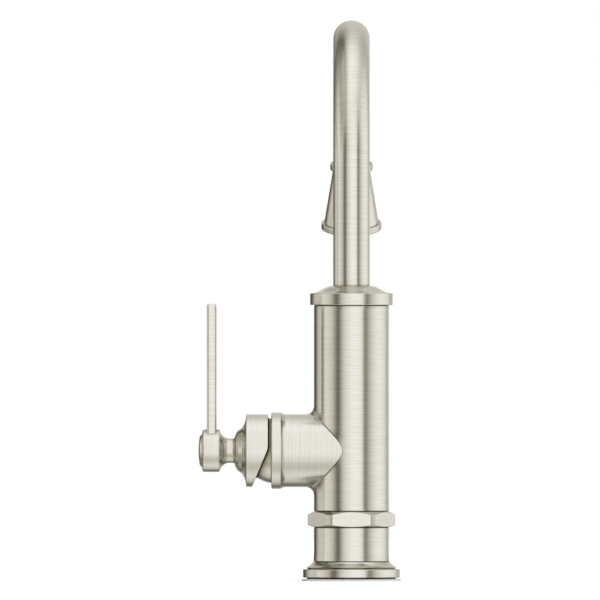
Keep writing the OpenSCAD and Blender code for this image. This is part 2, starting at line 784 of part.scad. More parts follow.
module inlet_seals() color(rubber) on_branch() on_ports(cartridge_ports, 0)
    ring(cartridge_port_r + port_seal_w, cartridge_port_r, t_cartridge, t_cartridge + port_seal_t);

module cartridge_housing() color(grey_plastic) on_branch() difference() {
    union() {
        disc(cartridge_r, t_cartridge, t_shoulder);
        disc(neck_r, t_cartridge, t_cartridge_top);
    }
    disc(housing_bore_r, t_cartridge - overrun, t_roof);
    disc(rotor_bore_r, t_cartridge, t_cartridge_top + overrun);
}

module fixed_disc() color(ceramic) on_branch() difference() {
    disc(housing_bore_r - plastic_gap, t_fixed_disc, t_moving_disc);
    on_ports(cartridge_ports, 0) disc(cartridge_port_r, 0, t_carrier);
}

module moving_disc() color(ceramic) on_branch() difference() {
    disc(moving_disc_r, t_moving_disc, t_carrier);
    translate([-chamber_drop, 0, 0]) disc(chamber_r, 0, t_moving_disc + chamber_depth);
}

module disc_carrier() {
    pocket = ball_r + ball_gap;
    floor_t = t_pivot - ball_arm - ball_r - 2 * plastic_gap;
    color(white_plastic) on_branch() difference() {
        union() {
            disc(moving_disc_r, t_carrier, t_rail);
            block([-rail_len / 2, -rail_w / 2, t_carrier], [rail_len / 2, rail_w / 2, t_rail_top]);
        }
        block([-pocket, -pocket, floor_t], [pocket, pocket, t_rail_top + overrun]);
    }
}

module rotor() {
    travel = rotor_flange_r - moving_disc_r;
    rail_room = rail_len / 2 + travel + 2 * plastic_gap;
    slot_w = stem_w / 2 + plastic_gap;
    slot_h = stem_w - stem_w / 9;
    color(white_plastic) on_branch() difference() {
        union() {
            disc(rotor_flange_r, t_rotor, t_rotor_neck);
            disc(rotor_r, t_rotor, t_rotor_top);
        }
        block([-rail_room, -rail_w / 2 - fit, 0], [rail_room, rail_w / 2 + fit, t_rotor_neck]);
        block([-slot_h, -slot_w, t_rotor], [slot_h, slot_w, t_rotor_top + overrun]);
        translate([0, 0, t_pivot]) rotate([90, 0, 0])
            cylinder(r = pin_r + bond, h = pin_len, center = true);
    }
}

module lever_pin() color(steel) on_branch() translate([0, 0, t_pivot]) rotate([90, 0, 0])
    cylinder(r = pin_r, h = pin_len, center = true);

module cartridge_nut() color(brass) on_branch() difference() {
    union() {
        disc(nut_r, t_nut, branch_len - play);
        disc(nut_crown_r, t_nut, t_nut_top);
    }
    disc(branch_bore_r, t_nut - overrun, t_shoulder);
    disc(neck_r + plastic_gap, t_nut, t_nut_top + overrun);
}

module dome_cap() color(nickel) on_branch() difference() {
    union() {
        disc(dome_r, branch_len, t_pivot);
        translate([0, 0, t_pivot]) sphere(r = dome_r);
    }
    disc(dome_bore_r, t_pivot - 2 * dome_r, t_pivot);
    ring(2 * dome_r, dome_bore_r - overrun, t_pivot - 2 * dome_r, branch_len);
    translate([0, 0, t_pivot]) sphere(r = dome_bore_r);
    disc(dome_hole_r, t_pivot, t_pivot + 2 * dome_r);
}

module trim_ring() color(nickel) on_branch() difference() {
    bevelled_disc(trim_r, trim_edge, branch_len, branch_len + trim_w);
    disc(dome_r + fit, branch_len - overrun, branch_len + trim_w + overrun);
}

module stem() color(steel) on_branch() translate([0, 0, t_pivot]) difference() {
    union() {
        block([-stem_w / 2, -stem_w / 2, -stem_in], [stem_w / 2, stem_w / 2, stem_out]);
        disc(arm_r, -ball_arm, 0);
        translate([0, 0, -ball_arm]) sphere(r = ball_r);
    }
    rotate([90, 0, 0]) cylinder(r = pin_r + fit, h = pin_len, center = true);
}

// The room in front of the skirt's edge, which slopes back under the axis
module skirt_cut() {
    reach = 2 * skirt_r;
    slope = [sin(skirt_slope), cos(skirt_slope)];
    bend = [skirt_bend_rise, t_skirt];
    start = [skirt_bend_rise + skirt_blend, t_skirt];
    stop = [bend[0] - skirt_blend * slope[1], bend[1] + skirt_blend * slope[0]];
    end = [bend[0] - reach * slope[1], bend[1] + reach * slope[0]];
    rotate([90, 0, 0]) linear_extrude(height = 2 * reach, center = true) polygon(concat(
        [[reach, t_pivot - reach], [reach, t_skirt], start],
        curve(start, bend, stop),
        [end, [end[0], t_pivot - reach]]
    ));
}

module handle_bell() {
    shoulder = [skirt_r, t_skirt_top];
    step = [step_r, t_step];
    neck = [handle_neck_r, t_neck];
    flare = [handle_neck_r, t_flare];
    hub = [flare_r, t_hub];
    socket = stem_w / 2 + bond;
    outline = concat(
        [[0, t_pivot], [skirt_r, t_pivot], shoulder],
        curve(shoulder, between(shoulder, step, [skirt_cove_share[1], skirt_cove_share[0]]), step),
        curve(step, between(step, neck, [step_cove_share[1], step_cove_share[0]]), neck),
        [flare],
        curve(flare, between(flare, hub, [flare_cove_share[1], flare_cove_share[0]]), hub),
        [[0, t_hub]]
    );
    color(nickel) on_branch() difference() {
        rotate_extrude() polygon(outline);
        translate([0, 0, t_pivot]) sphere(r = dome_r + skirt_gap);
        skirt_cut();
        block([-socket, -socket, t_pivot], [socket, socket, t_stem_end]);
        disc(screw_r + bond, t_hub - screw_bite - overrun / 2, t_hub + overrun);
        translate([0, 0, t_set_screw]) rotate([0, -90, 0]) disc(set_screw_r + bond, 0, skirt_r);
    }
}

module set_screw() {
    depth = step_r - stem_w / 2;
    color(steel) on_branch() translate([0, 0, t_set_screw]) rotate([0, -90, 0]) difference() {
        disc(set_screw_r, stem_w / 2 + bond, stem_w / 2 + depth * 3 / 4);
        translate([0, 0, stem_w / 2 + depth / 3])
            cylinder(r = set_screw_key / 2 / cos(30), h = depth, $fn = 6);
    }
}

module lever_hub() {
    slot = bar_w / 2 + fit;
    color(nickel) on_branch() difference() {
        bevelled_disc(hub_r, hub_edge, t_hub, t_hub_end);
        block([-bar_drop - fit, -slot, t_bar - fit], [hub_r + overrun, slot, t_bar + bar_t + fit]);
        disc(screw_r + 2 * fit, t_hub - overrun, t_hub_end + overrun);
        disc(screw_head_r + 2 * fit, t_hub_end - screw_recess, t_hub_end + overrun);
    }
}

// A rectangle about the origin with its four corners bevelled
module bevelled_rectangle(w, h, bevel) polygon([
    [-w / 2 + bevel, -h / 2], [w / 2 - bevel, -h / 2], [w / 2, -h / 2 + bevel],
    [w / 2, h / 2 - bevel], [w / 2 - bevel, h / 2], [-w / 2 + bevel, h / 2],
    [-w / 2, h / 2 - bevel], [-w / 2, -h / 2 + bevel]
]);

module lever_bar() {
    length = bar_rise + bar_drop;
    middle = (bar_rise - bar_drop) / 2;
    color(nickel) on_branch() difference() {
        translate([middle, 0, t_bar + bar_t / 2]) intersection() {
            linear_extrude(height = bar_t, center = true)
                bevelled_rectangle(length, bar_w, bar_bevel);
            rotate([90, 0, 0]) linear_extrude(height = bar_w, center = true)
                bevelled_rectangle(length, bar_t, bar_bevel);
            rotate([0, 90, 0]) linear_extrude(height = length, center = true)
                bevelled_rectangle(bar_t, bar_w, bar_bevel);
        }
        disc(screw_r + 2 * fit, t_bar - overrun, t_bar + bar_t + overrun);
    }
}

module handle_screw() color(steel) on_branch() difference() {
    union() {
        disc(screw_r, t_hub - screw_bite, t_hub_end - screw_recess + fit);
        disc(screw_head_r, t_hub_end - screw_recess, t_hub_end - play);
    }
    translate([0, 0, t_hub_end - screw_recess * 3 / 4])
        cylinder(r = screw_key / 2 / cos(30), h = screw_recess, $fn = 6);
}

module hub_cap() {
    edge = [hub_cap_r - hub_cap_bevel, t_hub_end + hub_cap_edge];
    top = [0, edge[1] + hub_cap_crown];
    color(nickel) on_branch() rotate_extrude() polygon(concat(
        [[0, t_hub_end], [hub_cap_r, t_hub_end], edge],
        curve(edge, [edge[0] / 2, top[1]], top)
    ));
}

deck_gasket();
base_flange();
pedestal();
hex_collar();
body_shell();
waterway_core();
seat_adapter();
seat_seals();
riser_tube();
riser_seals();
spout_socket();
lower_bearing_washer();
upper_bearing_washer();
top_cap();
spout_shank();
spout_seals();
spout_tube();
spout_nipple();
spout_end_ring();
spout_bell();
aerator_housing();
aerator_insert();
aerator_washer();
cartridge_base();
inlet_seals();
cartridge_housing();
fixed_disc();
moving_disc();
disc_carrier();
rotor();
lever_pin();
cartridge_nut();
dome_cap();
trim_ring();
stem();
handle_bell();
set_screw();
lever_hub();
lever_bar();
handle_screw();
hub_cap();
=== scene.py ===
# A brushed nickel gooseneck bar faucet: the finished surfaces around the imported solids.
import math

import bmesh
import bpy
from mathutils import Matrix, Vector


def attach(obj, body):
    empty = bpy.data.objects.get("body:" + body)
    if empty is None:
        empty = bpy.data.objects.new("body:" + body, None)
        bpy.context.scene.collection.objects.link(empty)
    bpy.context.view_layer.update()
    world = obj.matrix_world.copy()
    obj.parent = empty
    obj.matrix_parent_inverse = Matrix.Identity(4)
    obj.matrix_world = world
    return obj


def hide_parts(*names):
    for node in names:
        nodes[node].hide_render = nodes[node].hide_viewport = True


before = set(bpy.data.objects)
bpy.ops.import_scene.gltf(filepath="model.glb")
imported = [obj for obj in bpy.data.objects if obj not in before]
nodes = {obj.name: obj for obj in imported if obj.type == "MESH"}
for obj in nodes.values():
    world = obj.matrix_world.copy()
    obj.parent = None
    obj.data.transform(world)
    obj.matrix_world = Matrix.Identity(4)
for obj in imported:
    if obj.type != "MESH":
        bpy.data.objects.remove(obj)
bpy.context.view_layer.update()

# Lengths are in millimetres, and this scales them to the scene's metres
MM = 0.001

# How finely shapes are cut: round a turned piece, in a rounded corner and along a cove
FACETS = 120
ROUND_STEPS = 5
COVE_STEPS = 14
# An edge that turns by more than CREASE stays sharp. On a piece with soft edges, one that turns by more
# than SOFT_FROM is rounded instead
CREASE, SOFT_FROM = math.radians(38), math.radians(20)
# Points less than this apart are joined
WELD = 0.001

# Heights over the deck where one piece ends and the next begins
GASKET_TOP = 1.2
FLANGE_TOP = 12.2
PEDESTAL_TOP = 32.5
COLLAR_TOP = 42.7
BODY_TOP = 168.1
CAP_TOP = 180.0
DECK_AXIS = Matrix.Identity(4)

# The body and the lever's branch, outside and inside
BODY_R, BODY_BORE_R = 22.85, 20.0
BRANCH_R, BRANCH_BORE_R = 22.2, 19.05

# The height of the branch's axis, and places along it from the body's axis: the branch's end, the middle
# of the ball that the handle tilts round, the skirt's shoulder, and the hub
BRANCH_Z = 79.5
BRANCH_END = 42.5
BALL_PLACE = 46.3
SHOULDER = 64.2
HUB_START, HUB_END = 80.8, 91.0
BRANCH_AXIS = Matrix.Translation((0, 0, BRANCH_Z)) @ Matrix.Rotation(math.radians(-90), 4, "Y")

# The dome that the skirt moves over
DOME_R = 20.0

# The spout's tube and its bend, which stops short of straight down
TUBE_R, TUBE_BORE_R = 11.1, 9.9
BEND_R = 76.0
BEND_Z = 255.6
SPOUT_TILT = math.radians(15.6)
BEND_END = (0, BEND_R * (1 + math.cos(SPOUT_TILT)), BEND_Z + BEND_R * math.sin(SPOUT_TILT))
SPOUT_AXIS = Matrix.Translation(BEND_END) @ Matrix.Rotation(math.pi + SPOUT_TILT, 4, "X")
# Places past the bend, where the tube and the ring round it end
TUBE_END = 23.7
RING_END = 25.3


# Finishes

def linear(code):
    """The linear colour of an sRGB hex code."""
    parts = [int(code[i:i + 2], 16) / 255 for i in (1, 3, 5)]
    return tuple(p / 12.92 if p <= 0.04045 else ((p + 0.055) / 1.055) ** 2.4 for p in parts) + (1,)


def add(tree, kind, settings=None, links=None):
    """Adds a node, gives it its settings and input values, and links inputs from other nodes' outputs."""
    node = tree.nodes.new(kind)
    for key, value in (settings or {}).items():
        if isinstance(key, str) and hasattr(node, key):
            setattr(node, key, value)
        else:
            node.inputs[key].default_value = value
    for key, source in (links or {}).items():
        tree.links.new(source, node.inputs[key])
    return node


def set_stops(ramp, stops):
    """Gives a colour ramp its stops, as places and sRGB hex codes."""
    band = ramp.color_ramp
    while len(band.elements) < len(stops):
        band.elements.new(0.5)
    for element, (place, code) in zip(band.elements, sorted(stops)):
        element.position = place
        element.color = linear(code)


def new_finish(name):
    """An empty node material, and its output node."""
    material = bpy.data.materials.new(name)
    material.use_nodes = True
    material.node_tree.nodes.clear()
    return material, add(material.node_tree, "ShaderNodeOutputMaterial")


def brush_lines(tree, place, across, pitch, length):
    """Noise in lines that follow the brush, pitch millimetres apart and length millimetres long."""
    along = add(tree, "ShaderNodeVectorMath", {"operation": "SCALE", "Scale": 1 / (MM * length)},
                {0: place})
    step = add(tree, "ShaderNodeMath", {"operation": "MULTIPLY", 1: 1 / (MM * pitch)}, {0: across})
    line = add(tree, "ShaderNodeCombineXYZ", links={"Z": step.outputs[0]})
    where = add(tree, "ShaderNodeVectorMath", {"operation": "ADD"},
                {0: along.outputs[0], 1: line.outputs[0]})
    noise = add(tree, "ShaderNodeTexNoise", {"Scale": 1.0, "Detail": 2.0, "Roughness": 0.6},
                {"Vector": where.outputs[0]})
    return noise.outputs["Fac"]


def brushed_nickel(name, smoothest, roughest, spread, open_share):
    """Nickel plate brushed round each turned part: bright, slightly warm, with fine lines and a highlight
    that spreads across the lines. Where less than open_share of the surroundings is open, painted shade
    darkens and browns it."""
    material, out = new_finish(name)
    tree = material.node_tree
    place = add(tree, "ShaderNodeTexCoord").outputs["Object"]
    brush = add(tree, "ShaderNodeUVMap", {"uv_map": "brush"}).outputs[0]
    across = add(tree, "ShaderNodeSeparateXYZ", links={0: brush}).outputs["X"]
    # Two sets of lines, both coarser than the 0.1 mm that a real abrasive leaves, so that they show
    coarse = brush_lines(tree, place, across, pitch=0.7, length=20)
    fine = brush_lines(tree, place, across, pitch=0.28, length=10)
    lines = add(tree, "ShaderNodeMix", {"data_type": "FLOAT", "Factor": 0.4}, {2: coarse, 3: fine})
    tone = add(tree, "ShaderNodeValToRGB", links={"Fac": lines.outputs[0]})
    set_stops(tone, [(0.3, "#C3C0B9"), (0.5, "#CDCBC4"), (0.7, "#D5D4CF")])
    # Painted shade: the plate is darker and browner in creases, where other metal stands within 6 mm of it
    occlusion = add(tree, "ShaderNodeAmbientOcclusion", {"samples": 8, "Distance": MM * 6})
    painted_shade = add(tree, "ShaderNodeValToRGB", links={"Fac": occlusion.outputs["AO"]})
    painted_shade_stops = (0.2, "#4A4636"), (0.47, "#6E6852"), (0.68, "#A29C86"), (0.84, "#CFCBBE"), (1, "#FFFFFF")
    set_stops(painted_shade, [(share * open_share, code) for share, code in painted_shade_stops])
    plate = add(tree, "ShaderNodeMix", {"data_type": "RGBA", "blend_type": "MULTIPLY", 0: 1.0},
                {6: tone.outputs["Color"], 7: painted_shade.outputs["Color"]})
    # Handling leaves patches about 30 mm wide that are a little duller
    patches = add(tree, "ShaderNodeTexNoise", {"Scale": 1 / (MM * 28.57), "Detail": 2.0},
                  {"Vector": place})
    grain = add(tree, "ShaderNodeMix", {"data_type": "FLOAT", "Factor": 0.35},
                {2: lines.outputs[0], 3: patches.outputs["Fac"]})
    rough = add(tree, "ShaderNodeMapRange",
                {"From Min": 0.3, "From Max": 0.7, "To Min": smoothest, "To Max": roughest},
                {"Value": grain.outputs[0]})
    bump = add(tree, "ShaderNodeBump", {"Strength": 0.3, "Distance": MM * 0.04},
               {"Height": lines.outputs[0]})
    tangent = add(tree, "ShaderNodeTangent", {"direction_type": "UV_MAP", "uv_map": "brush"})
    shader = add(tree, "ShaderNodeBsdfPrincipled", {"Metallic": 1.0, "Anisotropic": spread}, {
        "Base Color": plate.outputs[2], "Roughness": rough.outputs["Result"],
        "Normal": bump.outputs["Normal"], "Tangent": tangent.outputs["Tangent"]})
    tree.links.new(shader.outputs[0], out.inputs["Surface"])
    return material


def plain_finish(name, dark, light, grain, depth, **settings):
    """A finish that wanders between two shades in a grain, whose size and depth are in millimetres. The
    settings are the shader's own, such as metallic and roughness."""
    material, out = new_finish(name)
    tree = material.node_tree
    place = add(tree, "ShaderNodeTexCoord").outputs["Object"]
    pattern = add(tree, "ShaderNodeTexNoise", {"Scale": 1 / (MM * grain), "Detail": 3.0},
                  {"Vector": place})
    tone = add(tree, "ShaderNodeValToRGB", links={"Fac": pattern.outputs["Fac"]})
    set_stops(tone, [(0.35, dark), (0.65, light)])
    bump = add(tree, "ShaderNodeBump", {"Strength": 0.4, "Distance": MM * depth},
               {"Height": pattern.outputs["Fac"]})
    sockets = {key.replace("_", " ").title(): value for key, value in settings.items()}
    shader = add(tree, "ShaderNodeBsdfPrincipled", sockets,
                 {"Base Color": tone.outputs["Color"], "Normal": bump.outputs["Normal"]})
    tree.links.new(shader.outputs[0], out.inputs["Surface"])
    return material


# Brushed nickel plate on all that shows: fine lines round each piece, and soft bands of light along it
nickel = brushed_nickel("brushed_nickel_plate", smoothest=0.17, roughest=0.24, spread=0.65,
                        open_share=0.74)
# The same plate in small turned hollows and on chamfers, which the brush only touches lightly: a little
# smoother, and with more painted shade where it is sheltered
turned_nickel = brushed_nickel("turned_nickel_plate", smoothest=0.14, roughest=0.19, spread=0.4,
                               open_share=0.86)
# Free-machining brass, left as turned: yellow, with fine tool marks
turned_brass = plain_finish("turned_brass", "#D9B96E", "#E8CC84", grain=0.4, depth=0.01,
                            metallic=1.0, roughness=0.32)
# Stainless steel bar and tube, drawn: grey and fairly bright
drawn_steel = plain_finish("drawn_stainless_steel", "#BDBFC1", "#CDCFD1", grain=0.5, depth=0.01,
                           metallic=1.0, roughness=0.28)
# Chrome plate over brass: the brightest and smoothest metal here
chrome = plain_finish("chrome_plate", "#C9CACB", "#D2D3D4", grain=2.0, depth=0.002,
                      metallic=1.0, roughness=0.09)
# Moulded seal rubber: black with a dull bloom
seal_rubber = plain_finish("moulded_seal_rubber", "#222224", "#2E2E31", grain=0.3, depth=0.02,
                           roughness=0.72)
# Ground alumina ceramic: off-white and smooth
alumina = plain_finish("ground_alumina", "#E9E7E1", "#F1EFEB", grain=0.6, depth=0.002, roughness=0.16)
# Moulded grey acetal, as cartridge bodies are made of: satin, with a faint grain
grey_acetal = plain_finish("moulded_grey_acetal", "#6F747A", "#7A7F85", grain=0.8, depth=0.01,
                           roughness=0.42)
# Moulded white acetal, as bearing washers and outlet inserts are made of: satin and milky
white_acetal = plain_finish("moulded_white_acetal", "#E2E4E5", "#ECEDEE", grain=0.8, depth=0.01,
                            roughness=0.38)
# Clear vinyl sheet: pale blue grey at its cut edge
clear_vinyl = plain_finish("clear_vinyl_sheet", "#E2E7EC", "#EDF0F3", grain=1.5, depth=0.01,
                           roughness=0.3, transmission_weight=0.05)

# Solids that show as they are, or that lie inside
SOLID_FINISHES = {
    clear_vinyl: ["deck_gasket"],
    turned_brass: ["waterway_core", "seat_adapter", "spout_socket", "spout_shank", "spout_nipple",
                   "cartridge_nut"],
    drawn_steel: ["riser_tube", "lever_pin", "stem", "set_screw", "handle_screw"],
    chrome: ["aerator_housing"],
    seal_rubber: ["seat_seals", "riser_seals", "spout_seals", "inlet_seals", "aerator_washer"],
    alumina: ["fixed_disc", "moving_disc"],
    grey_acetal: ["cartridge_base", "cartridge_housing"],
    white_acetal: ["lower_bearing_washer", "upper_bearing_washer", "aerator_insert", "disc_carrier",
                   "rotor"],
}
for finish, names in SOLID_FINISHES.items():
    for name in names:
        nodes[name].data.materials.clear()
        nodes[name].data.materials.append(finish)


# Outlines and skins

def cove(start, pull, end, steps=COVE_STEPS):
    """Points of a curve from start to end that bends towards pull, without its ends."""
    shares = [k / steps for k in range(1, steps)]
    return [tuple((1 - s) ** 2 * a + 2 * s * (1 - s) * b + s * s * c
                  for a, b, c in zip(start, pull, end)) for s in shares]


def softened(corners):
    """The line through the corners. A corner with a third value is rounded to that radius."""
    # A round takes at most this share of the side it ends on
    side_share = 0.45
    line = []
    for i, corner in enumerate(corners):
        here = Vector(corner[:2])
        if len(corner) < 3:
            line.append(here)
            continue
        back = Vector(corners[i - 1][:2]) - here
        on = Vector(corners[(i + 1) % len(corners)][:2]) - here
        reach = corner[2] / math.tan(back.angle(on) / 2)
        reach = min(reach, side_share * back.length, side_share * on.length)
        first, last = here + reach * back.normalized(), here + reach * on.normalized()
        line.append(first)
        line += [Vector(p) for p in cove(first, here, last, ROUND_STEPS)]
        line.append(last)
    return line


def full_turn(steps=FACETS):
    """Angles all the way round, of which the last lies on the first."""
    return [2 * math.pi * j / steps for j in range(steps + 1)]


def add_skin(mesh, rows, brush):
    """Faces between rows of points. brush has each point's place across and along the brush lines."""
    layer = mesh.loops.layers.uv.get("brush") or mesh.loops.layers.uv.new("brush")
    points = [[mesh.verts.new(MM * Vector(p)) for p in row] for row in rows]
    for i in range(len(rows) - 1):
        for j in range(len(rows[i]) - 1):
            corners = ((i, j), (i, j + 1), (i + 1, j + 1), (i + 1, j))
            face = mesh.faces.new([points[a][b] for a, b in corners])
            for loop, (a, b) in zip(face.loops, corners):
                loop[layer].uv = [MM * x for x in brush[a][b]]


def add_turned(mesh, corners, axis, closed=True):
    """The outline, given as (radius, place) or (radius, place, round), turned about the axis and brushed
    round it."""
    line = softened(corners)
    if closed:
        line.append(line[0])
    turns = full_turn()
    runs = [0]
    for a, b in zip(line, line[1:]):
        runs.append(runs[-1] + (b - a).length)
    rows = [[axis @ Vector((r * math.cos(t), r * math.sin(t), place)) for t in turns] for r, place in line]
    widest = max(r for r, _ in line)
    add_skin(mesh, rows, [[(run, widest * t) for t in turns] for run in runs])


def finish_piece(name, mesh, body, node, soft_edge=0.0, finish=nickel):
    """Closes the mesh, shades it smoothly between its creases, and puts it in its node's place."""
    bmesh.ops.remove_doubles(mesh, verts=mesh.verts, dist=MM * WELD)
    bmesh.ops.dissolve_degenerate(mesh, edges=mesh.edges, dist=MM * WELD / 10)
    bmesh.ops.recalc_face_normals(mesh, faces=mesh.faces)
    data = bpy.data.meshes.new(name)
    mesh.to_mesh(data)
    mesh.free()
    data.shade_smooth()
    piece = bpy.data.objects.new(name, data)
    bpy.context.scene.collection.objects.link(piece)
    if soft_edge:
        bevel = piece.modifiers.new("soft_edges", "BEVEL")
        bevel.width = MM * soft_edge
        bevel.segments = 3
        bevel.angle_limit = SOFT_FROM
    else:
        data.set_sharp_from_angle(angle=CREASE)
    even = piece.modifiers.new("even_shading", "WEIGHTED_NORMAL")
    even.keep_sharp = True
    data.materials.append(finish)
    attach(piece, body)
    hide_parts(node)
    return piece


def turned_piece(name, corners, axis, body, node, closed=True):
    """A piece from one turned outline."""
    mesh = bmesh.new()
    add_turned(mesh, corners, axis, closed)
    return finish_piece(name, mesh, body, node)


def leave_smoother(piece, chosen):
    """Gives the lightly brushed plate to the faces that are chosen."""
    piece.data.materials.append(turned_nickel)
    for face in piece.data.polygons:
        face.material_index = int(chosen(face))


# Deck and body

def coved_flange():
    """The escutcheon: a recessed foot, a rim, a narrow groove, and a cove that rises to a lip."""
    bore_r, foot_r, rim_r, groove_r, seat_r = 16.1, 27.2, 29.6, 26.9, 22.3
    foot_top, rim_top, groove_top = 2.1, 7.3, 8.1
    rise, pull, lip = (27.7, 8.3), (25.4, 9.3), (23.5, 11.6)
    smooth_from = 8.2
    flange = turned_piece("coved_flange", [
        (bore_r, GASKET_TOP), (foot_r, GASKET_TOP), (foot_r, foot_top), (rim_r, foot_top, 0.4),
        (rim_r, 7.2, 0.6), (28.1, rim_top), (groove_r, rim_top), (groove_r, groove_top), rise,
        *cove(rise, pull, lip), lip, (22.7, 11.4), (seat_r, FLANGE_TOP), (bore_r, FLANGE_TOP)
    ], DECK_AXIS, "root", "base_flange")
    leave_smoother(flange, lambda face: face.center.z > MM * smooth_from)


def pedestal_sleeve():
    """The sleeve that carries the collar, flared at its foot."""
    bore_r, seat_r, sleeve_r, flare_r, edge = 19.5, 22.3, 22.9, 23.15, 0.3
    flare_foot, flare_top = 11.75, 18.2
    turned_piece("pedestal_sleeve", [
        (bore_r, FLANGE_TOP), (seat_r, FLANGE_TOP), (sleeve_r, flare_foot), (flare_r, FLANGE_TOP, edge),
        (sleeve_r, flare_top), (sleeve_r, PEDESTAL_TOP, edge), (bore_r, PEDESTAL_TOP)
    ], DECK_AXIS, "root", "pedestal")


def hex_nut():
    """A hexagonal collar whose corners are turned down and whose faces end in turned chamfers, with a
    narrow step under it that shows as a dark line."""
    sides, flat_steps, corner_steps = 6, 12, 4
    low, high, half_flats, corner_r, bore = PEDESTAL_TOP, COLLAR_TOP, 23.95, 26.65, 16.05
    step_r, step_h = 22.6, 0.4
    low_face, low_slope = 23.2, math.tan(math.radians(19))
    high_face, high_slope = 22.6, math.tan(math.radians(30))
    # How far along its outline each row lies, and the radius that the brush lines are measured at
    runs, brush_r = (-7.6, -1, -0.6, 0, 2, 10, 12, 19, 29), 25
    # Faces that lean up or down by more than this share are chamfers, or the flat ends
    lean = 0.2
    side = 2 * math.pi / sides
    edge = math.acos(half_flats / corner_r)
    flat = [edge * (2 * k / flat_steps - 1) for k in range(flat_steps)]
    corner = [edge + (side - 2 * edge) * k / corner_steps for k in range(corner_steps)]
    turns = [side * n + math.pi / 2 + a for n in range(sides) for a in flat + corner]
    turns.append(turns[0] + 2 * math.pi)
    rows = [[] for _ in runs]
    for t in turns:
        off = (t - math.pi / 2 + side / 2) % side - side / 2
        reach = min(half_flats / math.cos(off), corner_r)
        line = [(bore, low), (step_r, low), (step_r, low + step_h), (low_face, low + step_h),
                (reach, low + step_h + (reach - low_face) * low_slope),
                (reach, high - (reach - high_face) * high_slope), (high_face, high), (bore, high),
                (bore, low)]
        for row, (r, z) in zip(rows, line):
            row.append((r * math.cos(t), r * math.sin(t), z))
    mesh = bmesh.new()
    add_skin(mesh, rows, [[(run, brush_r * t) for t in turns] for run in runs])
    nut = finish_piece("hex_nut", mesh, "root", "hex_collar", soft_edge=0.2)
    leave_smoother(nut, lambda face: abs(face.normal.z) > lean)


# The body and its branch are one tee, whose fillet is wide above and below and runs out to a fine crease
# at the sides. Its skin starts from the body's two rims and the seam between them, opposite the branch, in
# this many steps
RIM_STEPS, SEAM_STEPS = 120, 36
TEE_STEPS = 2 * (RIM_STEPS + SEAM_STEPS)
# How quickly the fillet narrows from the top to the sides, and the groove in the crease fades to the top
FILLET_POWER = 14
GROOVE_DEPTH, GROOVE_POWER = 0.4, 8


def walk_round(low, high):
    """The body's skin unrolled: a walk round its edge from the middle of the top, as (angle, height)."""
    turn = 360 / RIM_STEPS
    walk = [(turn * k, high) for k in range(RIM_STEPS // 2)]
    walk += [(180, high + (low - high) * k / SEAM_STEPS) for k in range(SEAM_STEPS)]
    walk += [(180 - turn * k, low) for k in range(RIM_STEPS)]
    walk += [(-180, low + (high - low) * k / SEAM_STEPS) for k in range(SEAM_STEPS)]
    walk += [(turn * k - 180, high) for k in range(RIM_STEPS // 2 + 1)]
    return walk


def fillet_line(body_r, branch_r, widest, narrowest, theta):
    """Where a ball in the joint touches the body and the branch, and its centre between the two."""
    fillet = narrowest + (widest - narrowest) * math.cos(theta) ** FILLET_POWER
    y = (branch_r + fillet) * math.sin(theta)
    z = (branch_r + fillet) * math.cos(theta)
    x = -math.sqrt((body_r + fillet) ** 2 - y * y)
    share = body_r / (body_r + fillet)
    on_branch = Vector((x, branch_r * math.sin(theta), branch_r * math.cos(theta)))
    return Vector((x * share, y * share, z)), Vector((x, y, z)), on_branch


def body_skin(body_r, branch_r, fillets, low, high, turns, steps=24):
    """Rows of the body's wall from its rims to the fillet, with their brush places."""
    rows, brush = [], []
    touches = [fillet_line(body_r, branch_r, *fillets, t)[0] for t in turns]
    edge = walk_round(low, high)
    for k in range(steps + 1):
        s = k / steps
        row, places = [], []
        for touch, (angle, height) in zip(touches, edge):
            a = (1 - s) * math.radians(angle) + s * math.atan2(touch.y, -touch.x)
            z = (1 - s) * height + s * touch.z
            row.append((-body_r * math.cos(a), body_r * math.sin(a), BRANCH_Z + z))
            places.append((BRANCH_Z + z, body_r * a))
        rows.append(row)
        brush.append(places)
    return rows, brush


def branch_skin(body_r, branch_r, fillets, end_line, turns, arc_steps=10, straight_steps=6):
    """Rows of the fillet and the branch, out to the line of (radius, place) at the branch's end. Where the
    fillet is narrow, a fine groove is left in it."""
    rows, brush = [], []
    contacts = [fillet_line(body_r, branch_r, *fillets, t) for t in turns]
    for k in range(arc_steps + 1):
        s = k / arc_steps
        row, places = [], []
        for (on_body, centre, on_branch), t in zip(contacts, turns):
            a, b = on_body - centre, on_branch - centre
            groove = GROOVE_DEPTH * math.sin(math.pi * s) * (1 - math.cos(t) ** GROOVE_POWER)
            point = centre + (b.length + groove) * a.slerp(b, s).normalized()
            row.append((point.x, point.y, BRANCH_Z + point.z))
            places.append((-on_branch.x - b.length * a.angle(b) * (1 - s), branch_r * t))
        rows.append(row)
        brush.append(places)
    start, run = rows[-1], end_line[0][1]
    for k in range(1, straight_steps + 1):
        s = k / straight_steps
        reaches = [(1 - s) * -x + s * run for x, y, z in start]
        rows.append([(-reach, y, z) for reach, (x, y, z) in zip(reaches, start)])
        brush.append([(reach, branch_r * t) for reach, t in zip(reaches, turns)])
    for before, (r, place) in zip(end_line, end_line[1:]):
        run += math.dist(before, (r, place))
        rows.append([(-place, r * math.sin(t), BRANCH_Z + r * math.cos(t)) for t in turns])
        brush.append([(run, branch_r * t) for t in turns])
    return rows, brush


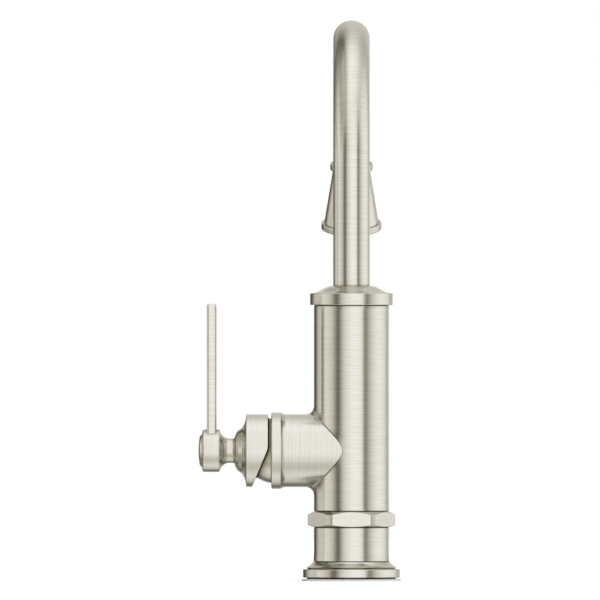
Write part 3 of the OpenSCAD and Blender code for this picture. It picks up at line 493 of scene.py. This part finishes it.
def tee_body():
    """The body: outer and inner walls, the fillet, the branch's flared lip and the rims at both ends."""
    outer_fillets, inner_fillets = (5.2, 0.9), (0.3, 0.3)
    edge = 0.35
    low, high = COLLAR_TOP + edge, BODY_TOP - edge
    rims = low - BRANCH_Z, high - BRANCH_Z
    flare, pull, lip = (BRANCH_R, 40.2), (22.35, 41.9), (22.95, 42.3)
    outer_end = [flare, *cove(flare, pull, lip, 8), lip, (22.7, BRANCH_END), (BRANCH_BORE_R, BRANCH_END)]
    inner_end = [(BRANCH_BORE_R, BRANCH_END)]
    turns = full_turn(TEE_STEPS)
    mesh = bmesh.new()
    add_skin(mesh, *body_skin(BODY_R, BRANCH_R, outer_fillets, *rims, turns))
    add_skin(mesh, *branch_skin(BODY_R, BRANCH_R, outer_fillets, outer_end, turns))
    add_skin(mesh, *body_skin(BODY_BORE_R, BRANCH_BORE_R, inner_fillets, *rims, turns))
    add_skin(mesh, *branch_skin(BODY_BORE_R, BRANCH_BORE_R, inner_fillets, inner_end, turns, arc_steps=2))
    add_turned(mesh, [
        (BODY_R, low), (BODY_R - edge, COLLAR_TOP), (BODY_BORE_R + edge, COLLAR_TOP), (BODY_BORE_R, low)
    ], DECK_AXIS, closed=False)
    add_turned(mesh, [
        (BODY_R, high), (BODY_R - edge / 3, BODY_TOP - edge / 3), (BODY_R - edge, BODY_TOP),
        (BODY_BORE_R + edge, BODY_TOP), (BODY_BORE_R, high)
    ], DECK_AXIS, closed=False)
    finish_piece("tee_body", mesh, "root", "body_shell")


def crowned_cap():
    """The cap that holds the spout: a rim, stepped under its edge, and a crown that rises to the tube."""
    hole_r, socket_r, thread_r, step_r, rim_r = 11.2, 16.65, 19.9, 22.4, 25.2
    foot, rim_foot, ceiling, rim_top = 158.2, 168.3, 169.5, 175.5
    crown_r, peak_r, steps = 24.3, 11.7, 24
    rise = CAP_TOP - rim_top
    shares = [k / steps for k in range(2, steps)]
    crown = [(crown_r + (peak_r - crown_r) * s, rim_top + rise * (1 - math.cos(math.pi * s)) / 2)
             for s in shares]
    cap = turned_piece("crowned_cap", [
        (hole_r, ceiling), (socket_r, ceiling), (socket_r, foot), (thread_r, foot), (thread_r, BODY_TOP),
        (step_r, BODY_TOP), (step_r, rim_foot), (rim_r, rim_foot, 0.5), (rim_r, rim_top, 0.45), *crown,
        (peak_r, CAP_TOP, 0.2), (hole_r, CAP_TOP)
    ], DECK_AXIS, "root", "top_cap")
    leave_smoother(cap, lambda face: face.center.z > MM * rim_top)


# Spout

def gooseneck():
    """The spout's tube: a straight rise, one long bend and a short straight end."""
    foot, bend_steps, end_steps = 160.05, 96, 4
    rise = (foot, 180.0, 200.0, 220.0, 240.0)
    # Each station is a ring's centre, the way out of the bend there, and the run along the tube
    stations = [(Vector((0, 0, z)), Vector((0, 1, 0)), z - foot) for z in rise]
    run = BEND_Z - foot
    sweep = math.pi - SPOUT_TILT
    for k in range(bend_steps + 1):
        a = sweep * k / bend_steps
        side = Vector((0, math.cos(a), -math.sin(a)))
        stations.append((Vector((0, BEND_R, BEND_Z)) - BEND_R * side, side, run + BEND_R * a))
    run += BEND_R * sweep
    down = Vector((0, math.sin(SPOUT_TILT), -math.cos(SPOUT_TILT)))
    for k in range(1, end_steps + 1):
        past = TUBE_END * k / end_steps
        stations.append((Vector(BEND_END) + past * down, side, run + past))
    turns = full_turn()
    rows, brush = [], []
    for r, order in ((TUBE_R, stations), (TUBE_BORE_R, stations[::-1]), (TUBE_R, stations[:1])):
        for centre, out, distance in order:
            ways = [math.cos(t) * Vector((1, 0, 0)) + math.sin(t) * out for t in turns]
            rows.append([centre + r * way for way in ways])
            brush.append([(distance, r * t) for t in turns])
    mesh = bmesh.new()
    add_skin(mesh, rows, brush)
    finish_piece("gooseneck", mesh, "spout", "spout_tube")


def outlet_ring():
    """The rounded ring at the tube's end, with a lip over it."""
    ring_r, lip_r, start, edge = 13.1, 10.0, 21.3, 0.9
    turned_piece("outlet_ring", [
        (TUBE_R, start), (ring_r, start, edge), (ring_r, RING_END, edge), (lip_r, RING_END),
        (lip_r, TUBE_END), (TUBE_R, TUBE_END)
    ], SPOUT_AXIS, "spout", "spout_end_ring")


def outlet_bell():
    """The bell round the aerator: a straight flare and a rounded rim, hollow from its mouth."""
    neck_r, waist_r, flare_r, rim_r, mouth_r, seat_r = 9.9, 11.36, 16.7, 18.55, 12.0, 11.1
    throat, seat, rim_start, mouth, edge = 35.3, 47.95, 58.9, 62.95, 0.8
    turned_piece("outlet_bell", [
        (neck_r, RING_END), (waist_r, RING_END, 0.15), (flare_r, rim_start), (rim_r, rim_start, edge),
        (rim_r, mouth, edge), (mouth_r, mouth, 0.5), (mouth_r, seat), (seat_r, seat), (neck_r, throat)
    ], SPOUT_AXIS, "spout", "spout_bell")


# Lever branch

def trim_band():
    """The ring between the branch and the dome."""
    bore_r, foot_r, ring_r, foot_end, ring_end = 20.05, 22.75, 23.3, 43.15, 48.9
    turned_piece("trim_band", [
        (bore_r, BRANCH_END), (foot_r, BRANCH_END), (ring_r, foot_end, 0.4), (ring_r, ring_end, 0.8),
        (bore_r, ring_end, 0.3)
    ], BRANCH_AXIS, "root", "trim_ring")


def dome():
    """The ball-shaped cover under the handle, with a hole for the stem."""
    hole_r, hollow_r = 13.5, 18.0

    def arc(ball_r, steps):
        last = math.acos(hole_r / ball_r)
        angles = [last * k / steps for k in range(steps + 1)]
        return [(ball_r * math.cos(a), BALL_PLACE + ball_r * math.sin(a)) for a in angles]

    turned_piece("dome", [
        (DOME_R, BRANCH_END), *arc(DOME_R, 20), *arc(hollow_r, 12)[::-1], (hollow_r, BRANCH_END)
    ], BRANCH_AXIS, "root", "dome_cap")


def skirt_edge(up):
    """How far out the skirt's edge lies at a height over the branch's axis. It is upright above and slopes
    outwards below, with a short curve between."""
    straight, bend, blend = 50.9, 1.25, 2.15
    slope = math.radians(22.6)
    start, stop = bend + blend, bend - blend * math.cos(slope)
    if up >= start:
        return straight
    if up <= stop:
        return straight + (bend - up) * math.tan(slope)
    a, b, c = start - 2 * bend + stop, 2 * (bend - start), start - up
    s = (-b - math.sqrt(b * b - 4 * a * c)) / (2 * a)
    return straight + s * s * blend * math.sin(slope)


def meeting_radius(ball_r, up, past=0.0, rounds=12):
    """How far from the axis a ball meets the skirt's edge, or a line past it. The edge's place depends on
    this radius, so it is worked out again until it settles."""
    r = ball_r
    for _ in range(rounds):
        r = math.sqrt(ball_r ** 2 - (skirt_edge(r * up) + past - BALL_PLACE) ** 2)
    return r


def handle_skirt():
    """The handle's hollow skirt, its coves and its neck, with the sloping edge that lets it tilt."""
    skirt_r, hollow_r, edge, wall_steps, hollow_steps = BRANCH_R, 20.4, 0.35, 5, 10
    # From the hub: a flare, the neck, a tight hollow, a swelling, and a wide hollow up to the shoulder
    hub, flare, neck, drop = (12.9, 80.55), (7.45, 75.1), (7.45, 72.7), (9.0, 70.95)
    swelling, waist, shoulder = (10.7, 70.45), (13.4, 67.7), (21.2, 64.25)
    # The last point only leads the shoulder's round on, and the wall starts where that round ends
    lead = 61.9
    line = softened([
        (0, HUB_START), (12.9, HUB_START), hub, *cove(hub, (7.9, 78.6), flare), flare, neck,
        *cove(neck, (7.5, 71.3), drop), drop, swelling, *cove(swelling, (12.2, 69.7), waist), waist,
        *cove(waist, (15.0, 65.0), shoulder), shoulder, (skirt_r, SHOULDER, 1.0), (skirt_r, lead)
    ])[:-1]
    top = line[-1].y
    turns = full_turn()
    columns = []
    for t in turns:
        up = math.cos(t)
        foot = skirt_edge(skirt_r * up)
        wall = [(skirt_r, top + (foot + edge - top) * k / wall_steps) for k in range(1, wall_steps + 1)]
        inside = meeting_radius(hollow_r, up)
        rim = [(skirt_r - 0.3 * edge, foot + 0.3 * edge),
               (skirt_r - edge, skirt_edge((skirt_r - edge) * up)),
               (inside + edge / 2, skirt_edge((inside + edge / 2) * up))]
        radii = [inside * (1 - k / hollow_steps) for k in range(hollow_steps + 1)]
        hollow = [(r, BALL_PLACE + math.sqrt(hollow_r ** 2 - r ** 2)) for r in radii]
        columns.append(line + [Vector(p) for p in wall + rim + hollow])
    rows = [[BRANCH_AXIS @ Vector((c[i].x * math.cos(t), c[i].x * math.sin(t), c[i].y))
             for c, t in zip(columns, turns)] for i in range(len(columns[0]))]
    brush = []
    runs = [0.0] * len(columns)
    for i in range(len(columns[0])):
        if i:
            runs = [run + (c[i] - c[i - 1]).length for run, c in zip(runs, columns)]
        brush.append([(run, skirt_r * t) for run, t in zip(runs, turns)])
    mesh = bmesh.new()
    add_skin(mesh, rows, brush)
    skirt = finish_piece("handle_skirt", mesh, "handle", "handle_bell")
    leave_smoother(skirt, lambda face: face.center.x < -MM * SHOULDER)


def painted_shadow_lip():
    """A thin black ring on the dome just past the skirt's edge, which moves with the handle: a painted
    shadow for the gap between the skirt and the dome.
    """
    # Its outline, as each point's height over the dome and its place past the skirt's edge
    outline = [(0.05, -0.7), (0.25, -0.75), (0.36, -0.6), (0.36, 1.0), (0.05, 1.0), (0.05, -0.7)]
    turns = full_turn()
    rows = []
    for height, past in outline:
        row = []
        for t in turns:
            r = meeting_radius(DOME_R + height, math.cos(t), past)
            place = skirt_edge(r * math.cos(t)) + past
            row.append(BRANCH_AXIS @ Vector((r * math.cos(t), r * math.sin(t), place)))
        rows.append(row)
    mesh = bmesh.new()
    add_skin(mesh, rows, [[(past, DOME_R * t) for t in turns] for _, past in outline])
    finish_piece("painted_shadow_lip", mesh, "handle", "handle_bell", finish=seal_rubber)


def round_hub():
    """The hub that the lever stands in."""
    hub_r, near_edge, far_edge = 13.0, 0.3, 1.35
    turned_piece("round_hub", [
        (0, HUB_START), (hub_r, HUB_START, near_edge), (hub_r, HUB_END, far_edge), (0, HUB_END)
    ], BRANCH_AXIS, "handle", "lever_hub", closed=False)


def hub_button():
    """The button on the hub, crowned at its middle."""
    button_r, foot_end = 10.15, 91.35
    edge, pull, peak = (8.4, 92.62), (4.2, 93.3), (0, 93.3)
    button = turned_piece("hub_button", [
        (0, HUB_END), (button_r, HUB_END), (button_r, foot_end, 0.2), (9.0, 92.5, 0.8), edge,
        *cove(edge, pull, peak), peak
    ], BRANCH_AXIS, "handle", "hub_cap", closed=False)
    leave_smoother(button, lambda face: True)


def flat_lever():
    """A flat bar with rounded edges, brushed across its length."""
    low, high, edge = (-88.25, -7.4, 71.5), (-82.35, 7.4, 169.0), 1.4
    middle = [(a + b) / 2 for a, b in zip(low, high)]
    size = [MM * (b - a) for a, b in zip(low, high)]
    place = Matrix.Translation(MM * Vector(middle)) @ Matrix.Diagonal((*size, 1))
    mesh = bmesh.new()
    bmesh.ops.create_cube(mesh, size=1, matrix=place)
    bmesh.ops.bevel(mesh, geom=mesh.edges[:], offset=MM * edge, segments=4, profile=0.5, affect="EDGES")
    layer = mesh.loops.layers.uv.new("brush")
    mesh.normal_update()
    for face in mesh.faces:
        across = face.normal.cross(Vector((0, 0, 1)))
        # The ends face up and down, so they have no such direction of their own
        across = across.normalized() if across.length > 0.5 else Vector((0, 1, 0))
        for loop in face.loops:
            loop[layer].uv = (loop.vert.co.z, loop.vert.co.dot(across))
    finish_piece("flat_lever", mesh, "handle", "lever_bar")


for make in (coved_flange, pedestal_sleeve, hex_nut, tee_body, crowned_cap, gooseneck, outlet_ring,
             outlet_bell, trim_band, dome, handle_skirt, painted_shadow_lip, round_hub, hub_button, flat_lever):
    make()


# Studio: a bright arch from the floor in front over the top to the back, and a big soft panel at each
# side. Each panel has a dark frame, which round parts show as a dark line

# How bright the panels are: nickel reflects about three fifths of them and still looks bright
STUDIO = 1.4
# The middle of the left panel, and of its upper part at the back
LEFT_MIDDLE, LEFT_UPPER = (-1, 0.13, 0.08), (-1, 0.13, 0.3)
# Tones of the arch, in degrees from level in front: 90 is straight up and 180 level at the back
ARCH = [
    (-180, "#C8C7C2"), (-160, "#A4A29B"), (-145, "#6A685F"), (-136, "#75736A"), (-127, "#8C8A80"),
    (-119, "#BAB8AF"), (-111, "#D2D0CA"), (-90, "#EAE8E4"), (-76, "#E4E3DD"), (-60, "#CFCDC6"),
    (-45, "#CFCDC7"), (-30, "#EAE8E4"), (-15, "#FAF9F8"), (0, "#FFFFFF"), (30, "#FBFAF8"), (50, "#F8F7F5"),
    (75, "#FFFFFF"), (95, "#FDFCFB"), (107, "#F3F2EF"), (120, "#DCDBD6"), (133, "#CAC9C3"),
    (150, "#C5C4BE"), (180, "#C8C7C2"),
]
# Tones at the sides by height, from straight down to straight up
SIDE = [(-1, "#E6E4DF"), (-0.6, "#DCDAD5"), (-0.3, "#F2F1ED"), (0, "#FFFFFF"), (1, "#FCFBF9")]
# The left panel in front, above, high behind and level behind, by how far a direction lies towards it
LEFT_FRONT = [
    (-0.15, "#FFFFFF"), (-0.05, "#F8F7F5"), (0.11, "#EEECE8"), (0.27, "#DAD8D2"), (0.36, "#C4C2BA"),
    (0.42, "#A8A69C"), (0.5, "#7A786E"), (0.56, "#66645A"), (0.61, "#6C6A60"), (0.7, "#A3A197"),
    (0.76, "#C0BEB5"), (0.82, "#D2D0C8"), (0.91, "#E7E5DF"), (1, "#F2F0EC"),
]
LEFT_TOP = [
    (0.2, "#FFFFFF"), (0.4, "#E2E0DA"), (0.5, "#BCBAB1"), (0.56, "#B0AEA4"), (0.65, "#C8C6BD"),
    (0.73, "#BAB8AF"), (0.86, "#AEACA2"), (0.93, "#C4C2B9"), (0.97, "#E6E4DE"), (1, "#F6F5F2"),
]
LEFT_HIGH = [
    (0.3, "#FFFFFF"), (0.45, "#ECEAE5"), (0.52, "#D8D6CF"), (0.57, "#C8C6BE"), (0.61, "#A8A69C"),
    (0.645, "#787569"), (0.68, "#686559"), (0.72, "#767367"), (0.77, "#8C8A7E"), (0.82, "#9C9A8F"),
    (0.9, "#ACAAA0"), (0.95, "#BAB8AF"), (1, "#D8D6CF"),
]
LEFT_BACK = [
    (-0.2, "#FFFFFF"), (0, "#F0EFEB"), (0.15, "#D8D6D0"), (0.25, "#B4B2A8"), (0.35, "#88867B"),
    (0.45, "#64615A"), (0.55, "#565348"), (0.62, "#5C594E"), (0.7, "#7E7C71"), (0.77, "#9C9A90"),
    (0.85, "#BAB8AF"), (0.93, "#DAD8D1"), (1, "#EEECE7"),
]
# The right panel in front and elsewhere, by the share of a direction that points right
RIGHT_FRONT = [
    (0.3, "#FFFFFF"), (0.45, "#FBFAF8"), (0.54, "#F0EEEA"), (0.6, "#BEBCB3"), (0.65, "#8A887E"),
    (0.72, "#848278"), (0.79, "#AEACA3"), (0.88, "#D4D2CB"), (0.95, "#E9E7E2"), (1, "#F8F7F4"),
]
RIGHT_REST = [
    (0.1, "#FFFFFF"), (0.3, "#FAF9F7"), (0.45, "#F0EFEB"), (0.6, "#DFDDD7"), (0.7, "#DAD8D2"),
    (0.8, "#E2E0DB"), (0.9, "#F0EFEB"), (1, "#FAF9F7"),
]
# Where the left panel's tones give way to those above, high behind and level behind, and the right panel's
# to those elsewhere, in degrees from level in front
ABOVE, HIGH_BEHIND, LEVEL_BEHIND, RIGHT_ELSEWHERE = (15, 45), (108, 126), (166, 178), (12, 65)
# Where the arch gives way to the sides, by the share of a direction that points sideways
TO_SIDES = (0.55, 0.85)


def shaded(tree, value, stops, low=-1, high=1):
    """The tones of the stops along a value that runs from low to high."""
    share = add(tree, "ShaderNodeMapRange", {"From Min": low, "From Max": high}, {"Value": value})
    ramp = add(tree, "ShaderNodeValToRGB", links={"Fac": share.outputs["Result"]})
    set_stops(ramp, [((place - low) / (high - low), code) for place, code in stops])
    return ramp.outputs["Color"]


def give_way(tree, first, second, value, start, stop):
    """The first tone up to where the value is start, then more and more of the second up to stop."""
    share = add(tree, "ShaderNodeMapRange",
                {"interpolation_type": "SMOOTHSTEP", "From Min": start, "From Max": stop},
                {"Value": value})
    mix = add(tree, "ShaderNodeMix", {"data_type": "RGBA"},
              {0: share.outputs["Result"], 6: first, 7: second})
    return mix.outputs[2]


def light_studio():
    """Sets up the world: reflections see the arch and the panels, and the camera sees plain white."""
    world = bpy.data.worlds.new("studio")
    bpy.context.scene.world = world
    world.use_nodes = True
    tree = world.node_tree
    tree.nodes.clear()
    way = add(tree, "ShaderNodeTexCoord").outputs["Generated"]
    way_parts = add(tree, "ShaderNodeSeparateXYZ", links={0: way}).outputs
    ahead = add(tree, "ShaderNodeMath", {"operation": "MULTIPLY", 1: -1.0}, {0: way_parts["Y"]})
    turn = add(tree, "ShaderNodeMath", {"operation": "ARCTAN2"}, {0: way_parts["Z"], 1: ahead.outputs[0]})
    degrees = add(tree, "ShaderNodeMath", {"operation": "MULTIPLY", 1: 180 / math.pi},
                  {0: turn.outputs[0]})
    level = add(tree, "ShaderNodeMath", {"operation": "ABSOLUTE"}, {0: degrees.outputs[0]}).outputs[0]
    sideways = add(tree, "ShaderNodeMath", {"operation": "ABSOLUTE"}, {0: way_parts["X"]}).outputs[0]
    to_left, to_upper = [
        add(tree, "ShaderNodeVectorMath", {"operation": "DOT_PRODUCT", 1: Vector(middle).normalized()},
            {0: way}).outputs["Value"]
        for middle in (LEFT_MIDDLE, LEFT_UPPER)]
    left = shaded(tree, to_left, LEFT_FRONT)
    left = give_way(tree, left, shaded(tree, to_left, LEFT_TOP), level, *ABOVE)
    left = give_way(tree, left, shaded(tree, to_upper, LEFT_HIGH), level, *HIGH_BEHIND)
    left = give_way(tree, left, shaded(tree, to_left, LEFT_BACK), level, *LEVEL_BEHIND)
    right = shaded(tree, way_parts["X"], RIGHT_FRONT)
    right = give_way(tree, right, shaded(tree, way_parts["X"], RIGHT_REST), level, *RIGHT_ELSEWHERE)
    arch = shaded(tree, degrees.outputs[0], ARCH, -180, 180)
    lit = give_way(tree, arch, shaded(tree, way_parts["Z"], SIDE), sideways, *TO_SIDES)
    for panel in (left, right):
        lit = add(tree, "ShaderNodeMix", {"data_type": "RGBA", "blend_type": "MULTIPLY", 0: 1.0},
                  {6: lit, 7: panel}).outputs[2]
    rays = add(tree, "ShaderNodeLightPath")
    plain = add(tree, "ShaderNodeMath", {"operation": "MAXIMUM"},
                {0: rays.outputs["Is Camera Ray"], 1: rays.outputs["Is Transmission Ray"]})
    white = 1 / STUDIO
    seen = add(tree, "ShaderNodeMix", {"data_type": "RGBA", 7: (white, white, white, 1)},
               {0: plain.outputs[0], 6: lit})
    backdrop = add(tree, "ShaderNodeBackground", {"Strength": STUDIO}, {"Color": seen.outputs[2]})
    add(tree, "ShaderNodeOutputWorld", links={"Surface": backdrop.outputs[0]})


def lay_floor():
    """The floor is matt white. The camera sees it as white, less the faucet's shadow."""
    half, glow_strength = 3000, 0.45
    mesh = bmesh.new()
    bmesh.ops.create_grid(mesh, x_segments=1, y_segments=1, size=MM * half)
    data = bpy.data.meshes.new("floor")
    mesh.to_mesh(data)
    mesh.free()
    floor = bpy.data.objects.new("floor", data)
    bpy.context.scene.collection.objects.link(floor)
    floor.visible_glossy = False
    matt_white, out = new_finish("matt_white_floor")
    tree = matt_white.node_tree
    paint = add(tree, "ShaderNodeBsdfDiffuse", {"Color": linear("#DEDEDE")})
    rays = add(tree, "ShaderNodeLightPath")
    glow = add(tree, "ShaderNodeEmission", {"Strength": glow_strength},
               {"Color": rays.outputs["Is Camera Ray"]})
    both = add(tree, "ShaderNodeAddShader", links={0: paint.outputs[0], 1: glow.outputs[0]})
    tree.links.new(both.outputs[0], out.inputs["Surface"])
    data.materials.append(matt_white)


def place_camera():
    """A level camera straight behind the faucet's body and far off, as a long lens sees it. The body
    stands right of the picture's middle, so the lens is shifted sideways."""
    away, far_end, frame_width, sensor = 17000, 60000, 366, 36
    middle_x, middle_z = -31.4, 171.4
    lens = bpy.data.cameras.new("long_lens")
    lens.sensor_width = sensor
    lens.lens = sensor * away / frame_width
    lens.shift_x = middle_x / frame_width
    lens.clip_end = MM * far_end
    camera = bpy.data.objects.new("camera", lens)
    camera.location = (0, -MM * away, MM * middle_z)
    camera.rotation_euler = (math.radians(90), 0, 0)
    bpy.context.scene.collection.objects.link(camera)
    bpy.context.scene.camera = camera


light_studio()
lay_floor()
place_camera()
bpy.context.scene.view_settings.view_transform = "Standard"
